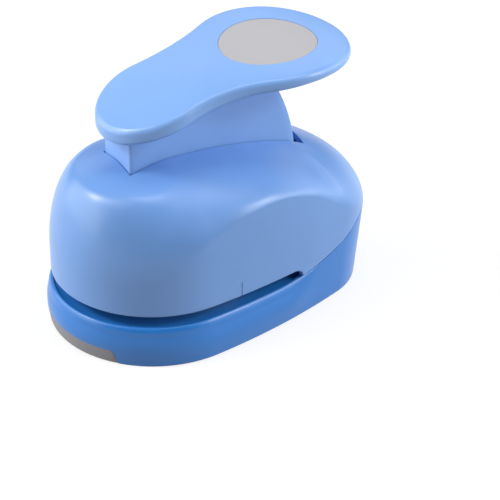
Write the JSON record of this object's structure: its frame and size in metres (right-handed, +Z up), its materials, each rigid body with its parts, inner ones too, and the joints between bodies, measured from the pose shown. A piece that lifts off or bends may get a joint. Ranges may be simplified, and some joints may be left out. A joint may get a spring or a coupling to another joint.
{
  "type": "circle craft punch",
  "caption": "Hand lever punch with a domed casing over a base: pressing the lever drives a round cutter through paper held in the throat.",
  "frame": {"origin": "on the table, under the middle of the punch's length and width", "axes": "+Z up, +Y towards the rear where the paddle is, +X to the right seen from the front of the throat"},
  "size_m": [0.0912, 0.1428, 0.1115],
  "materials": {
    "base_plastic": "satin moulded, mid blue",
    "casing_plastic": "satin moulded, light blue",
    "lever_plastic": "satin moulded, sky blue",
    "grey_plastic": "matt, bare",
    "plate_steel": "pressed plate",
    "cutter_steel": "ground",
    "pin_steel": "turned",
    "spring_wire": "drawn wire",
    "screw_steel": "dark zinc"
  },
  "bodies": {
    "body": {"base_shell": "base_plastic", "front_plate": "grey_plastic", "upper_casing": "casing_plastic", "pivot_yoke": "plate_steel", "pivot_pin": "pin_steel", "pivot_clips": "pin_steel", "guide_plate": "plate_steel", "spacer_block": "plate_steel", "die_plate": "plate_steel", "guide_posts": "pin_steel", "left_return_spring": "spring_wire", "right_return_spring": "spring_wire", "die_screws": "screw_steel", "yoke_screws": "screw_steel", "casing_screws": "screw_steel", "front_casing_screws": "screw_steel"},
    "press_lever": {"lever": "lever_plastic", "thumb_pad": "grey_plastic", "roller_pin": "pin_steel"},
    "roller": {"press_roller": "pin_steel"},
    "punch": {"punch_cap": "plate_steel", "punch_cutter": "cutter_steel", "cap_screws": "screw_steel"}
  },
  "joints": [
    {"name": "lever_press", "type": "hinge", "parent": "body", "child": "press_lever", "pos_m": [0, -0.03944, 0.06], "axis": [-1, 0, 0], "range_deg": [0, 13], "stiffness_Nm_per_rad": 4, "springref_deg": -8.59},
    {"name": "punch_slide", "type": "slide", "parent": "body", "child": "punch", "axis": [0, 0, -1], "range_m": [0, 0.007], "deforming": ["left_return_spring", "right_return_spring"]},
    {"name": "roller_spin", "type": "hinge", "parent": "press_lever", "child": "roller", "pos_m": [0, -0.00884, 0.06349], "axis": [1, 0, 0], "continuous": true}
  ],
  "couplings": [
    {"joint": "punch_slide", "follows": "lever_press", "m_per_rad": 0.03073}
  ]
}
